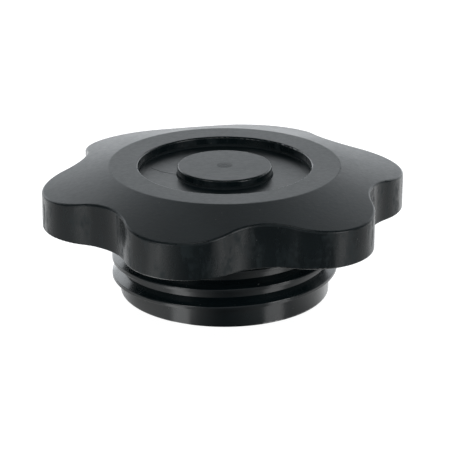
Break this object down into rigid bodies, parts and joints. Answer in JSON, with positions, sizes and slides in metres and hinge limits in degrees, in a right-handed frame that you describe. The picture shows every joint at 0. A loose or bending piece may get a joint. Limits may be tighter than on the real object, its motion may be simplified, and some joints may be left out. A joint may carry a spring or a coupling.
{
  "type": "oil filler cap",
  "caption": "Black plastic screw cap for an engine oil filler neck: lobed grip with a recessed top, hollow spigot with a coarse outside thread, rubber sealing ring.",
  "frame": {"origin": "centre of the spigot's lower end, the lowest point of the cap", "axes": "+Z along the spigot's axis, out of the cap's top; +X through the middle of one lobe"},
  "size_m": [0.0604, 0.055, 0.0217],
  "materials": {
    "cap_body": "black moulded plastic, fine matt grain on the head, smoother on the thread",
    "sealing_ring": "smooth black rubber"
  },
  "bodies": {
    "root": {"cap_body": "cap_body", "sealing_ring": "sealing_ring"}
  },
  "joints": []
}
